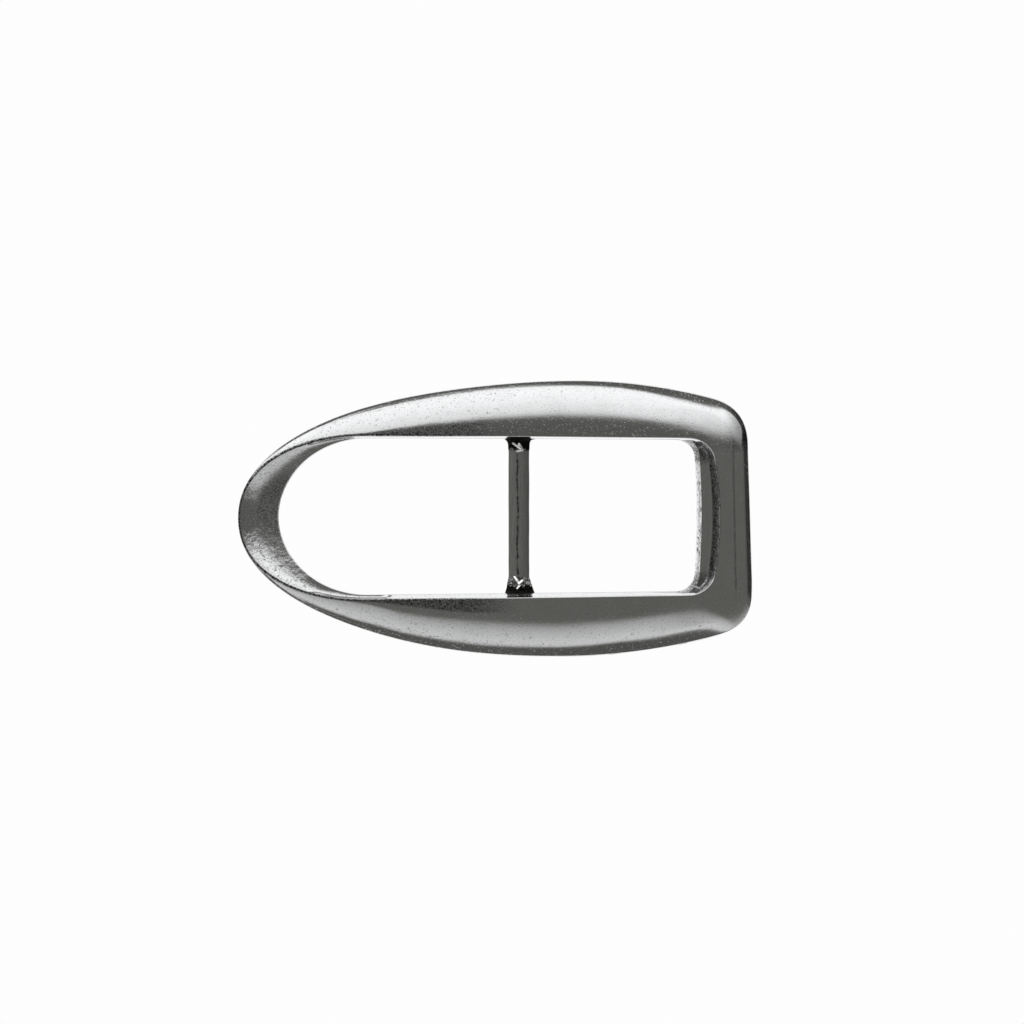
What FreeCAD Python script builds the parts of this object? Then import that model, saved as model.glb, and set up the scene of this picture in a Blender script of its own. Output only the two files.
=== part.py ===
import FreeCAD, Part
import math
import os

os.makedirs("parts", exist_ok=True)

V = FreeCAD.Vector

# Belt and strap slider: a cast ring with a fixed flat bar soldered across it.
# Millimetres. It lies on its flat back (z = 0), +X to the square end, +Z out of the face.

# The lines below are drawn about a point that lies this far from the middle of the finished outline
MIDDLE_X = 0.25
MIDDLE_Y = -0.078

# Outer outline: an oval half to the left of WIDEST_X, long curved sides and a square end to the right
TIP_X = -42.5          # outermost point of the rounded end
END_X = 42.69          # straight edge of the square end
END_SKEW = 0.031       # the straight edge leans out towards its lower corner
WIDEST_X = 12.8        # where the slider is widest
HALF_WIDTH = 23.0
OUTER_POWER = 2.11     # fullness of the rounded end, 2 = true ellipse
BACK_BOW = 92.0        # radius of the long side curve towards the square end
UPPER_CORNER = {"radius": 6.2, "power": 2.8}
LOWER_CORNER = {"radius": 9.5, "power": 4.1}
SAG = 0.31             # the outline sags a little, most at SAG_X
SAG_X = -6.0
SAG_LENGTH = 15.5
END_LIFT = 0.09        # and lifts towards the square end
LIFT_STARTS_X = 10.0
LIFT_LENGTH = 28.0

# Opening and ridge: both round the same centre at the left, straight-sided, squared at the right
FAN_X = -21.2          # centre of the rounded end of the opening
TAPER_START = 12.0     # the long sides begin to close in over this length
INNER_TURN = 0.003     # both lines are turned by this slope against the slider's length
OPENING = {
    "tip": 14.65, "half": 12.96, "power": 1.95, "taper": 0.009, "middle": 0.34,
    "end_x": 33.7, "bow": 150.0, "corner": 2.8}
RIDGE = {
    "tip": 21.1, "half": 13.58, "power": 2.15, "taper": 0.0122, "middle": 0.14,
    "end_x": 37.6, "bow": 54.0, "corner": 3.5}

# Heights
RIDGE_Z = 5.2          # ridge beside the bar
TIP_RIDGE_Z = 5.0
END_RIDGE_Z = 4.1
END_STARTS_X = 24.0    # where the side bars begin to flatten into the square end
SIDE_FALL = 0.36       # the domed top falls this much of its own width at the sides
END_FALL = 0.19        # and this much at the square end
TIP_LEAN = 0.12        # draft of the opening's wall at the rounded end
END_LEAN = 1.0         # and at the square end
LIP_DIP = 0.45         # the square end's lip falls this much as it leans in
LIP_DIP_AT = 0.75      # at this share of the lean, counted from the opening
LIP_OUT = 0.35         # and the wall below it leans on inwards by this much
LIP_FOOT_Z = 0.2       # down to this height
BACK_ROUND = 0.35      # the ring's back edges are rounded off by about this much
BACK_ROUND_FROM = 0.6  # the outer wall is straight for this share of its height

# Inside the ridge: a riser and ledge at the square end, a dish at the rounded end, a bare wall at the sides
WALL_WIDTH = 0.55      # ridge to lip along the sides, where there is no ledge
TIP_WALL_WIDTH = 0.15
TIP_WALL_FADE = 5.0
END_LEDGE_Z = 1.7
END_LEDGE_GROWTH = 1.0  # beyond that width the ledge opens out over this much more
SIDE_LEDGE_Z = 3.4
SIDE_LEDGE_GROWTH = 0.35
DISH_SLOPE = 0.27      # the dish falls this much of its own width
RISER_WIDTH = 0.22     # towards the sides a riser stands between the ridge and the dish
RISER_SHARE = 0.45     # and takes at most this share of the width there
RISER_FALL = 1.5
RISER_ENDS_X = -33.0
RISER_FADE = 9.0

# Centre bar: flat stock with a slightly domed face and a shallow groove along it
BAR_X = 4.14
BAR_Y = 0.15
BAR_WIDTH = 3.5
BAR_LOW_Z = 0.5
BAR_EDGE_Z = 2.45
BAR_TOP_Z = 2.8
BAR_HALF = 16.0
BAR_EDGE_ROUND = 0.2
GROOVE_DEPTH = 0.12
GROOVE_WIDTH = 0.5
GROOVE_X = -0.2        # the groove lies just left of the bar's middle
GROOVE_LENGTH = 24.0

# Solder at each end of the bar
SLOT_GAP = 0.18
SLOT_REACH = 2.0       # the slot's cutter starts this far inside the opening
SLOT_OVERLAP = 0.05
COLLAR_RIM = 0.9       # the collar runs on into the wall by this much before it is trimmed
COLLAR_THROAT = 0.4    # its hollow sides bend this far from the wall
COLLAR_RISE = 0.3
UPPER_COLLAR = {"length": 1.6, "flare": 0.55}
LOWER_COLLAR = {"length": 2.9, "flare": 0.75}
SOLDER_BACK_Z = 0.1
CLEAR = 12.0           # larger than anything it trims

# Stations round one half of the ring. Those at the square end's corner fan out from a point this far further
# from the opening's walls than the centre of its rounded corner.
CORNER_BACK = 0.4
CORNER_DOWN = 0.6
FAN_STEPS = 22
SIDE_STEPS = 18
CORNER_STEPS = 10
END_STEPS = 6
FAR = 60.0             # further than any outline
HALVINGS = 50          # of that distance, to find where an outline is crossed


def blend(a, b, t):
    return a + (b - a) * t


def smooth(t):
    t = min(max(t, 0.0), 1.0)
    return t * t * (3 - 2 * t)


def rounded_corner(d_side, d_end, radius, power):
    """Depth inside two edges whose meeting corner is rounded; negative outside."""
    a = max(radius - d_side, 0.0)
    b = max(radius - d_end, 0.0)
    if a == 0.0 and b == 0.0:
        return min(d_side, d_end)
    return radius - (a ** power + b ** power) ** (1 / power)


def outer_middle(x):
    """The middle line of the outer outline."""
    sag = SAG * math.exp(-((x - SAG_X) / SAG_LENGTH) ** 2)
    return END_LIFT * smooth((x - LIFT_STARTS_X) / LIFT_LENGTH) - sag


def outer_depth(x, y):
    y = y - outer_middle(x)
    if x < WIDEST_X:
        u = (WIDEST_X - x) / (WIDEST_X - TIP_X)
        v = abs(y) / HALF_WIDTH
        return 1 - (u ** OUTER_POWER + v ** OUTER_POWER)
    d_side = BACK_BOW - math.hypot(x - WIDEST_X, abs(y) + BACK_BOW - HALF_WIDTH)
    corner = UPPER_CORNER if y > 0 else LOWER_CORNER
    return rounded_corner(d_side, END_X - END_SKEW * y - x, corner["radius"], corner["power"])


def inner_depth(line, x, y):
    """Depth inside an outline with a rounded left end, straight sides and a square right end."""
    y = y - line["middle"] - INNER_TURN * (x - BAR_X)
    if x < FAN_X:
        u = (FAN_X - x) / line["tip"]
        v = abs(y) / line["half"]
        return 1 - (u ** line["power"] + v ** line["power"])
    run = x - FAN_X
    d_side = line["half"] - line["taper"] * run ** 2 / (run + TAPER_START) - abs(y)
    d_end = line["end_x"] - y ** 2 / (2 * line["bow"]) - x
    return rounded_corner(d_side, d_end, line["corner"], 2.0)


def open_depth(x, y):
    return inner_depth(OPENING, x, y)


def ridge_depth(x, y):
    return inner_depth(RIDGE, x, y)


def reach(depth, origin, ray):
    """Distance along the ray from the origin to where the outline is crossed."""
    near = 0.0
    far = FAR
    for _ in range(HALVINGS):
        mid = (near + far) / 2
        if depth(origin[0] + ray[0] * mid, origin[1] + ray[1] * mid) > 0:
            near = mid
        else:
            far = mid
    return near


def half_stations():
    """Rays across the ring from the rounded tip round to the middle of the square end."""
    corner_x = OPENING["end_x"] - OPENING["corner"] - CORNER_BACK
    corner_y = OPENING["half"] - OPENING["corner"] - CORNER_DOWN
    rays = []
    for i in range(FAN_STEPS):
        a = math.pi - (math.pi / 2) * i / FAN_STEPS
        rays.append(((FAN_X, 0.0), (math.cos(a), math.sin(a))))
    for i in range(SIDE_STEPS):
        x = blend(FAN_X, corner_x, i / SIDE_STEPS)
        rays.append(((x, 0.0), (0.0, 1.0)))
    for i in range(CORNER_STEPS):
        a = (math.pi / 2) * (1 - i / CORNER_STEPS)
        rays.append(((corner_x, corner_y), (math.cos(a), math.sin(a))))
    for i in range(END_STEPS + 1):
        y = corner_y * (1 - i / END_STEPS)
        rays.append(((corner_x, y), (1.0, 0.0)))
    return rays


def ridge_height(x):
    """The ridge rises a little to the rounded tip and falls to the square end."""
    if x < BAR_X:
        return blend(RIDGE_Z, TIP_RIDGE_Z, smooth((BAR_X - x) / (BAR_X - TIP_X)))
    return blend(RIDGE_Z, END_RIDGE_Z, smooth((x - BAR_X) / (RIDGE["end_x"] - BAR_X)))


def crown_drop(width, at_end):
    """Fall of the domed top from the ridge to the outer wall, by its width."""
    return blend(SIDE_FALL, END_FALL, at_end) * width


def section(origin, ray):
    """The named distances and heights of one section across the ring."""
    opening = reach(open_depth, origin, ray)
    ridge = reach(ridge_depth, origin, ray)
    outer = reach(outer_depth, origin, ray)
    ridge_x = origin[0] + ray[0] * ridge
    at_end = smooth((ridge_x - END_STARTS_X) / (RIDGE["end_x"] - END_STARTS_X))
    ridge_z = ridge_height(ridge_x)
    return {
        "opening": opening,
        "ridge": ridge,
        "outer": outer,
        "lean": min(blend(TIP_LEAN, END_LEAN, at_end), (ridge - opening) / 2),
        "ridge_x": ridge_x,
        "ridge_z": ridge_z,
        "shoulder_z": ridge_z - crown_drop(outer - ridge, at_end),
        "at_end": at_end,
    }


# How the inside falls from the ridge to the lip, as pairs (part of the way in, part of the fall)
STEP = [(0.0, 0.0), (0.10, 0.30), (0.26, 0.82), (0.42, 1.00), (0.70, 1.00), (1.0, 1.0)]
DISH = [(0.0, 0.0), (0.13, 0.26), (0.30, 0.57), (0.50, 0.83), (0.75, 0.97), (1.0, 1.0)]
WALL = [(0.0, 0.0), (0.20, 0.20), (0.40, 0.40), (0.60, 0.60), (0.80, 0.80), (1.0, 1.0)]
# The dish's floor past the foot of its riser; the first two rows lie on the riser itself
FLOOR = [(0.0, 0.0), (0.35, 0.52), (0.70, 0.88), (1.0, 1.0)]


def riser_and_floor(width):
    """Rows (inwards, fall) of a steep riser and the dish's floor past it."""
    foot = min(RISER_WIDTH, RISER_SHARE * width)
    rows = [(0.0, 0.0), (foot / 2, RISER_FALL / 2)]
    for inward, fall in FLOOR:
        rows.append((foot + inward * (width - foot), RISER_FALL + fall * DISH_SLOPE * (width - foot)))
    return rows


def field_rows(s):
    """From the ridge in to the lip: a dish whose riser grows towards the sides, a ledge, or a bare wall."""
    at_end = s["at_end"]
    ridge_x = s["ridge_x"]
    ridge_z = s["ridge_z"]
    width = s["ridge"] - s["opening"] - s["lean"]
    riser = smooth((ridge_x - RISER_ENDS_X) / RISER_FADE)
    narrow = blend(TIP_WALL_WIDTH, WALL_WIDTH, smooth((ridge_x - FAN_X) / TIP_WALL_FADE))
    walled = 1 - smooth((width - narrow) / blend(SIDE_LEDGE_GROWTH, END_LEDGE_GROWTH, at_end))
    rows = []
    for step, dish, wall, beside in zip(STEP, DISH, WALL, riser_and_floor(width)):
        inward = blend(dish[0] * width, beside[0], riser)
        fall = blend(dish[1] * DISH_SLOPE * width, beside[1], riser)
        inward = blend(inward, step[0] * width, at_end)
        fall = blend(fall, step[1] * (ridge_z - END_LEDGE_Z), at_end)
        inward = blend(inward, wall[0] * width, walled)
        fall = blend(fall, wall[1] * (ridge_z - SIDE_LEDGE_Z), walled)
        rows.append((s["ridge"] - inward, ridge_z - fall))
    return rows


# The domed top, from the ridge outwards: nearly level at first, and at 45 degrees at the outer edge.
SIDE_DOME = [(0.0, 0.0), (0.45, 0.08), (0.70, 0.223), (1.0, 1.0)]
END_DOME = [(0.0, 0.0), (0.45, 0.12), (0.86, 0.30), (1.0, 1.0)]


def crown_rows(s):
    """From the ridge over the domed top to the outer edge."""
    width = s["outer"] - s["ridge"]
    drop = s["ridge_z"] - s["shoulder_z"]
    rows = []
    for side, end in zip(SIDE_DOME, END_DOME):
        across = blend(side[0], end[0], s["at_end"])
        down = blend(side[1], end[1], s["at_end"])
        rows.append((s["ridge"] + across * width, s["ridge_z"] - down * drop))
    return rows


def wall_rows(s):
    """Down the outer wall and round its back edge."""
    top = s["shoulder_z"]
    edge = s["outer"]
    bend = blend(top, BACK_ROUND, BACK_ROUND_FROM)
    return [(edge, top), (edge, bend), (edge, 0.0), (edge - BACK_ROUND, 0.0)]


def lip_rows(s):
    """From the lip down the opening's wall and round its back edge."""
    lip = field_rows(s)[-1]
    edge = s["opening"]
    at_end = s["at_end"]
    return [
        lip,
        (edge + LIP_DIP_AT * s["lean"] * at_end, lip[1] - LIP_DIP * at_end),
        (edge - LIP_OUT * at_end, LIP_FOOT_Z * at_end),
        (edge + BACK_ROUND, 0.0),
    ]


def ring_surface(rows_of, stations):
    """One closed B-spline surface round the ring, with one row of poles for each line of the section."""
    points = []
    for origin, ray in stations:
        s = section(origin, ray)
        ring = [V(origin[0] + ray[0] * d, origin[1] + ray[1] * d, z) for d, z in rows_of(s)]
        points.append(ring)
    around = len(points)
    across = len(points[0])
    degree = 3
    inner_knots = across - degree
    surface = Part.BSplineSurface()
    surface.buildFromPolesMultsKnots(
        points,
        [1] * (around + 1),
        [degree + 1] + [1] * (inner_knots - 1) + [degree + 1],
        list(range(around + 1)),
        list(range(inner_knots + 1)),
        True, False, degree, degree)
    return surface


def full_ring():
    """The stations of the upper half, then their mirror images, about the bar's middle."""
    upper = half_stations()
    lower = [((o[0], -o[1]), (r[0], -r[1])) for o, r in reversed(upper[1:-1])]
    return [((o[0], o[1] + BAR_Y), r) for o, r in upper + lower]


def make_casting():
    stations = full_ring()
    surfaces = [ring_surface(rows, stations) for rows in (field_rows, crown_rows, wall_rows, lip_rows)]
    faces = [surface.toShape() for surface in surfaces]
    outer_back = surfaces[2].vIso(surfaces[2].bounds()[3]).toShape()
    inner_back = surfaces[3].vIso(surfaces[3].bounds()[3]).toShape()
    back = Part.Face([Part.Wire(outer_back), Part.Wire(inner_back)])
    back.validate()
    shell = Part.makeCompound(faces + [back])
    shell.sewShape()
    solid = Part.makeSolid(shell.Shells[0])
    if solid.Volume < 0:
        solid.reverse()
    return solid


def bar_section(grow):
    """The bar's cross-section in the X-Z plane, enlarged all round by the given gap."""
    half = BAR_WIDTH / 2 + grow
    low = V(BAR_X - half, 0, BAR_LOW_Z - grow)
    left = V(BAR_X - half, 0, BAR_EDGE_Z + grow)
    top = V(BAR_X, 0, BAR_TOP_Z + grow)
    right = V(BAR_X + half, 0, BAR_EDGE_Z + grow)
    low_right = V(BAR_X + half, 0, BAR_LOW_Z - grow)
    edges = [
        Part.makeLine(low, left),
        Part.Arc(left, top, right).toShape(),
        Part.makeLine(right, low_right),
        Part.makeLine(low_right, low),
    ]
    return Part.Face(Part.Wire(edges))


def make_bar():
    section_face = bar_section(0.0)
    section_face.translate(V(0, BAR_Y - BAR_HALF, 0))
    bar = section_face.extrude(V(0, 2 * BAR_HALF, 0))
    long_edges = [edge for edge in bar.Edges if edge.Length > BAR_HALF]
    bar = bar.makeFillet(BAR_EDGE_ROUND, long_edges)
    groove = Part.makeCylinder(GROOVE_WIDTH / 2, GROOVE_LENGTH, V(0, 0, 0), V(0, 1, 0))
    groove_z = BAR_TOP_Z + GROOVE_WIDTH / 2 - GROOVE_DEPTH
    groove.translate(V(BAR_X + GROOVE_X, BAR_Y - GROOVE_LENGTH / 2, groove_z))
    return bar.cut(groove).Solids[0]


# The slots, collars and solder are made towards +Y from the bar's middle, then turned to their own end.

def wall_reach(sign):
    """From the bar's middle along it to the opening's wall."""
    return reach(open_depth, (BAR_X, BAR_Y), (0.0, float(sign)))


def to_end(shape, sign):
    """Puts a shape made about y = 0 at the upper (+1) or lower (-1) end of the bar."""
    if sign < 0:
        shape = shape.mirror(V(0, 0, 0), V(0, 1, 0))
    return shape.translated(V(0, BAR_Y, 0))


def slot(from_y):
    """The slot that the bar's end lies in: as the bar with a gap round it, and open at the back."""
    length = BAR_HALF + SLOT_GAP - from_y
    seat = bar_section(SLOT_GAP)
    seat.translate(V(0, from_y, 0))
    half = BAR_WIDTH / 2 + SLOT_GAP
    below = Part.makeBox(2 * half, length, BAR_EDGE_Z, V(BAR_X - half, from_y, 0))
    return seat.extrude(V(0, length, 0)).fuse(below).removeSplitter()


def hollow_flare(half_from, half_to, wall_y, length):
    """Outline of a flare with hollow sides, as (half-width, y): narrow on the bar, wide at the wall."""
    start = wall_y - length
    rim = wall_y + COLLAR_RIM
    sides = []
    for sign in (1, -1):
        foot = V(sign * half_from, start, 0)
        bend = V(sign * half_from, wall_y - COLLAR_THROAT, 0)
        top = V(sign * half_to, wall_y, 0)
        curve = Part.BezierCurve()
        curve.setPoles([foot, bend, top])
        sides.append(curve.toShape())
        sides.append(Part.makeLine(top, V(sign * half_to, rim, 0)))
    sides.append(Part.makeLine(V(-half_from, start, 0), V(half_from, start, 0)))
    sides.append(Part.makeLine(V(-half_to, rim, 0), V(half_to, rim, 0)))
    return Part.Face(Part.Wire(Part.__sortEdges__(sides)))


def collar(wall_y, length, flare):
    """The flare of solder round the bar, hollow in plan and in side view."""
    half = BAR_WIDTH / 2
    plan = hollow_flare(half, half + flare, wall_y, length)
    plan.translate(V(BAR_X, 0, -CLEAR / 2))
    middle_z = (BAR_LOW_Z + BAR_TOP_Z) / 2
    half_z = (BAR_TOP_Z - BAR_LOW_Z) / 2
    side = hollow_flare(half_z, half_z + COLLAR_RISE, wall_y, length)
    side.rotate(V(0, 0, 0), V(0, 1, 0), 90)
    side.translate(V(BAR_X - CLEAR / 2, 0, middle_z))
    return plan.extrude(V(0, 0, CLEAR)).common(side.extrude(V(CLEAR, 0, 0)))


def make_solder(casting, bar, sign, shape):
    """A collar on the bar and the fill of the slot behind it, trimmed to the casting and the bar."""
    wall_y = wall_reach(sign)
    body = slot(wall_y - SLOT_OVERLAP).fuse(collar(wall_y, shape["length"], shape["flare"]))
    below = Part.makeBox(CLEAR, 2 * BAR_HALF, CLEAR, V(BAR_X - CLEAR / 2, 0, SOLDER_BACK_Z - CLEAR))
    solid = to_end(body.cut(below), sign).cut(casting).cut(bar)
    return max(solid.Solids, key=lambda piece: piece.Volume)


if __name__ == "__main__":
    casting = make_casting()
    for sign in (1, -1):
        casting = casting.cut(to_end(slot(wall_reach(sign) - SLOT_REACH), sign))
    casting = casting.Solids[0]
    bar = make_bar()
    nodes = {
        "frame_casting": casting,
        "centre_bar": bar,
        "solder_upper": make_solder(casting, bar, 1, UPPER_COLLAR),
        "solder_lower": make_solder(casting, bar, -1, LOWER_COLLAR),
    }
    for name, shape in nodes.items():
        shape.translate(V(-MIDDLE_X, -MIDDLE_Y, 0))
        box = shape.BoundBox
        print(name, shape.ShapeType, len(shape.Solids), shape.isValid(), round(shape.Volume, 1), box)
        shape.exportStep("parts/" + name + ".step")
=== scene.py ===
import math

import bmesh
import bpy
import numpy as np
from mathutils import Matrix, Vector, noise


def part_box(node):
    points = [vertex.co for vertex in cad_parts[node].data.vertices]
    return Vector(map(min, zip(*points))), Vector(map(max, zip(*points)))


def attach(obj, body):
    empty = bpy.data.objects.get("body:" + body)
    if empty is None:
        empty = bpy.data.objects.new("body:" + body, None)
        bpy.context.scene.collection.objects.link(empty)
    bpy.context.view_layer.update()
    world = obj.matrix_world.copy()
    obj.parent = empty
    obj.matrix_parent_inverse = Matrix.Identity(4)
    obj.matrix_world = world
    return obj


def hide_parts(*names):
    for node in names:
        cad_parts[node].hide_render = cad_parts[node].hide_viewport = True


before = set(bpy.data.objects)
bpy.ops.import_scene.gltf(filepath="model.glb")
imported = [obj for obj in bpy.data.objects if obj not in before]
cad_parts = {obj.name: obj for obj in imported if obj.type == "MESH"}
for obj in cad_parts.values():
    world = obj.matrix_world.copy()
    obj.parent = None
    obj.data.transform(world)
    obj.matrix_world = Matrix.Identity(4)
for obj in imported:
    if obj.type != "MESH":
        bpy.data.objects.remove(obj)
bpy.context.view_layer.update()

MM = 0.001

# ------------ sizes, in millimetres

frame_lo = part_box("frame_casting")[0] / MM
bar_lo, bar_hi = [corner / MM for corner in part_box("centre_bar")]

# The shape's lines are drawn about their own point; SHIFT takes them to the shared frame.
BAR_X = 4.14
BAR_Y = 0.15
SHIFT_X = (bar_lo.x + bar_hi.x) / 2 - BAR_X
SHIFT_Y = (bar_lo.y + bar_hi.y) / 2 - BAR_Y
TIP_X = frame_lo.x - SHIFT_X
BAR_HALF = (bar_hi.y - bar_lo.y) / 2
BAR_WIDTH = bar_hi.x - bar_lo.x
BAR_LOW_Z = bar_lo.z
BAR_TOP_Z = bar_hi.z

# The same lines as the casting's CAD: half an oval left of WIDEST_X, long curved sides and a square end
# right of it
WIDEST_X = 12.8
HALF_WIDTH = 23.0
OUTER_POWER = 2.11      # fullness of the rounded end, 2 = true ellipse
BACK_BOW = 92.0         # radius of the long side curve towards the square end
END_X = 42.69
END_SKEW = 0.031        # the straight edge leans out towards its lower corner
UPPER_CORNER = {"radius": 6.2, "power": 2.8}
LOWER_CORNER = {"radius": 9.5, "power": 4.1}
SAG = 0.31              # the outline sags a little, most at SAG_X
SAG_X = -6.0
SAG_LENGTH = 15.5
END_LIFT = 0.09         # and lifts towards the square end
LIFT_STARTS_X = 10.0
LIFT_LENGTH = 28.0

# Opening and ridge: both round the same centre at the left, straight-sided, squared at the right
FAN_X = -21.2
TAPER_START = 12.0      # the long sides begin to close in over this length
INNER_TURN = 0.003      # both lines are turned by this slope
OPENING = {
    "tip": 14.65, "half": 12.96, "power": 1.95, "taper": 0.009, "middle": 0.34,
    "end_x": 33.7, "bow": 150.0, "corner": 2.8}
RIDGE = {
    "tip": 21.1, "half": 13.58, "power": 2.15, "taper": 0.0122, "middle": 0.14,
    "end_x": 37.6, "bow": 54.0, "corner": 3.5}

# Heights, and the walls of the opening
RIDGE_Z = 5.2           # ridge beside the bar
TIP_RIDGE_Z = 5.0
END_RIDGE_Z = 4.1
END_STARTS_X = 24.0     # where the side bars begin to flatten into the square end
TIP_LEAN = 0.12         # draft of the opening's wall at the rounded end
END_LEAN = 1.0          # and at the square end
LIP_DIP = 0.45          # the square end's lip falls this much as it leans in
LIP_DIP_AT = 0.75       # at this share of the lean, counted from the opening
LIP_OUT = 0.35          # and the wall below it leans on inwards by this much
LIP_FOOT_Z = 0.2        # down to this height
BACK_ROUND = 0.35       # the back edges are rounded off by about this much
BACK_ROUND_FROM = 0.6   # the outer wall is straight for this share of its height
WALL_WIDTH = 0.55       # ridge to lip along the sides, where there is no ledge
TIP_WALL_WIDTH = 0.15
TIP_WALL_FADE = 5.0

# How the inside falls from the ridge to the opening's lip, as pairs (part of the way in, part of the fall):
# riser and ledge at the square end, dish at the rounded end. The sides' bare wall takes even steps.
END_LEDGE_Z = 1.7
END_LEDGE_GROWTH = 1.0  # beyond the wall's width the ledge opens out over this much more
SIDE_LEDGE_Z = 3.4
SIDE_LEDGE_GROWTH = 0.35
DISH_SLOPE = 0.27       # the dish falls this much of its own width
RISER_WIDTH = 0.22      # towards the sides a riser stands between the ridge and the dish
RISER_SHARE = 0.45      # and takes at most this share of the width there
RISER_FALL = 1.5
RISER_ENDS_X = -33.0
RISER_FADE = 9.0
STEP = [(0.0, 0.0), (0.10, 0.30), (0.26, 0.82), (0.42, 1.00), (0.70, 1.00), (1.0, 1.0)]
DISH = [(0.0, 0.0), (0.13, 0.26), (0.30, 0.57), (0.50, 0.83), (0.75, 0.97), (1.0, 1.0)]
# The dish's floor beside the riser, which takes the first two rows
FLOOR = [None, None, (0.0, 0.0), (0.35, 0.52), (0.70, 0.88), (1.0, 1.0)]

# The crown's tilt, in degrees, from the ridge outwards: a nearly flat band beside the ridge, the crown, and a
# steep facet at the outer edge. Band and facet take a share of the width that changes with x (x, share).
SIDE_TILTS = [3.6, 6.5, 10.5, 15.5, 25.0, 37.0, 41.8, 43.5]
FLAT_SHARE = [
    (-40, 0.06), (-25.6, 0.07), (-21.3, 0.10), (-15.6, 0.21), (-10.6, 0.27), (-2.3, 0.33),
    (11, 0.38), (21, 0.37), (31, 0.32)]
FACET_SHARE = [
    (-40, 0.18), (-25.7, 0.19), (-15.6, 0.14), (-2.3, 0.10), (11, 0.10), (21, 0.11), (31, 0.18), (37, 0.24)]
LOWER_FLAT = [(-25, 0.0), (-15.6, 0.08), (-2.3, 0.04), (11, 0.02), (21, 0.0)]
LOWER_FACET = [(-38, 0.08), (-25.7, 0.08), (-15.6, 0.045), (11, 0.05), (21, 0.08), (31, 0.0)]
FACET_TURN = 0.03       # the crown turns into its facet over this share
FLAT_TURN = 0.42        # and out of the flat band over this much of the band's share, raised to
FLAT_TURN_POWER = 1.6
# Round the square end's corners the tilt follows its own profile (share, tilt). Each span is how far a ray
# leans across the slider where that profile starts, and over how much more it comes in.
CORNER_TILTS = [
    (0.0, 3.6), (0.12, 7.5), (0.21, 12.5), (0.50, 14.5), (0.65, 17.0), (0.73, 34.0), (0.77, 39.5),
    (1.0, 43.0)]
UPPER_CORNER_SPAN = (0.12, 0.88)
LOWER_CORNER_SPAN = (0.65, 0.35)
# The square end is nearly flat, then turns down near its edge (inset from the edge, tilt). Towards its lower
# corner it turns down far less.
END_FLAT = [3.4, 4.5]
END_FLAT_TO = 0.6
END_FACET = [(1.24, 6.0), (0.93, 22.0), (0.72, 38.0), (0.0, 43.5)]
CORNER_FACET = [(1.00, 6.0), (0.93, 7.0), (0.86, 8.0), (0.0, 11.0)]
CORNER_FACET_FROM = 0.2
CORNER_FACET_OVER = 0.2

# The bar's section and the solder round its ends, as in the CAD
BAR_EDGE_Z = 2.45
BAR_EDGE_ROUND = 0.2
BAR_SWELL = 0.012
BAR_EDGE_WANDER = 0.03
GROOVE_DEPTH = 0.06
GROOVE_WIDTH = 0.30
GROOVE_X = -0.2
GROOVE_HALF = 11.5
SLOT_GAP = 0.18
SLOT_REACH = 2.0        # the slot's cutter starts this far inside the opening
CUT_BELOW_Z = -1.0
SOLDER_BACK_Z = 0.1
SOLDER_VOXEL = 0.055
SEAT_GAP = 0.03         # between the solder in a slot and the slot's sides
SEAT_END_GAP = 0.02

# Where the flux skin has flaked off, painted bright as highlights: strokes from (x, y) to (x, y), x from the
# bar's middle and y from the opening's wall inwards, and their half-width
UPPER_FLAKE_HIGHLIGHTS = [
    (-0.95, 0.70, 0.25, 1.60, 0.17), (0.05, 0.85, 0.55, 1.80, 0.24), (-0.35, 2.05, 0.40, 1.90, 0.14)]
LOWER_FLAKE_HIGHLIGHTS = [
    (-0.75, 2.65, 0.0, 1.55, 0.19), (0.0, 1.55, 0.60, 2.05, 0.18), (0.15, 1.20, -0.28, 0.75, 0.15)]
FLAKE_TILT = 0.65       # how steeply a flake tips up towards the wall
# Each collar widens to the left, the right and upwards by so much, at a power of the way to the wall
UPPER_FLARE = {
    "length": 2.3, "left": 0.55, "left_power": 5.5, "right": 0.40, "right_power": 6.0, "tail": 0.5,
    "rise": 0.20, "rise_power": 2.5, "seed": 21, "flake_highlights": UPPER_FLAKE_HIGHLIGHTS, "black_to": 1.2}
LOWER_FLARE = {
    "length": 2.9, "left": 0.50, "left_power": 1.7, "right": 0.85, "right_power": 1.3, "tail": 0.0,
    "rise": 0.25, "rise_power": 1.7, "seed": 31, "flake_highlights": LOWER_FLAKE_HIGHLIGHTS, "black_to": 0.7}
TAIL_POWER = 26
FLAKES_ABOVE_Z = BAR_EDGE_Z - 0.2
# The bar is stained black beyond these lines
STAIN_UPPER = 11.4
STAIN_LOWER = -10.0

# Where the camera looks and the width it sees there
VIEW_X = 3.0
VIEW_Y = 1.0
VIEW_Z = 2.0
VIEW_WIDTH = 170.67
LENS = 150
SENSOR = 36

# Finish that only the visual model has
RIDGE_ROUND = 0.14      # how far from each sharp line its rounding reaches
EDGE_ROUND = 0.16
SMOOTH_FROM_X = -8.0    # the tumbled left half turns into the smoother right half over this length
SMOOTH_OVER = 16.0
UNEVEN_ABOVE_Z = 0.5
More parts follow.
